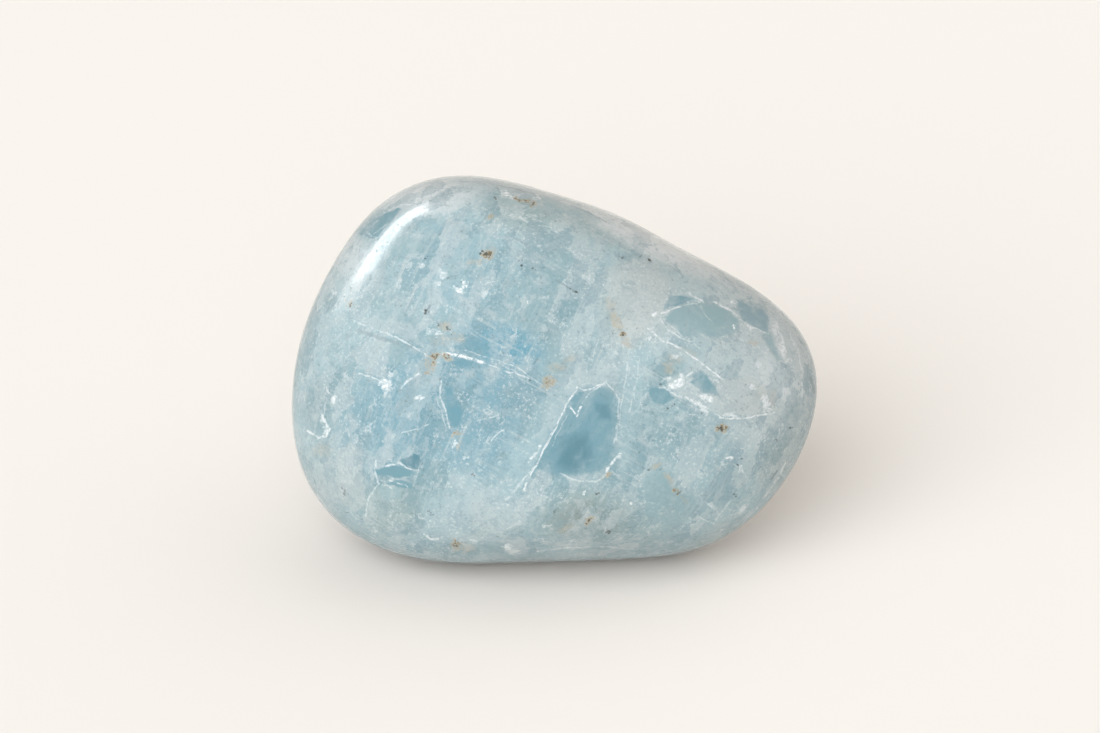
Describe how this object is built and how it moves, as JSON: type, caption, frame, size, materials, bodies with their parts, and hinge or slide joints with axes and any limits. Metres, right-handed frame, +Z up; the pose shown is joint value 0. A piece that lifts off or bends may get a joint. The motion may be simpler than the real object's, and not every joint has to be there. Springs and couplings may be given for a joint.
{
  "type": "tumbled aquamarine stone",
  "caption": "Rounded, polished pale blue aquamarine pebble with a broad front, one narrow end and a small worn flat to rest on.",
  "frame": {"origin": "middle of the stone's bounding box, on the surface it rests on", "axes": "+X along the length towards the narrow end, +Z up, -Y out of the broad front"},
  "size_m": [0.0402, 0.025, 0.029],
  "materials": {
    "polished_aquamarine": "high gloss polish over cloudy translucent pale blue beryl"
  },
  "bodies": {
    "root": {"aquamarine": "polished_aquamarine"}
  },
  "joints": []
}
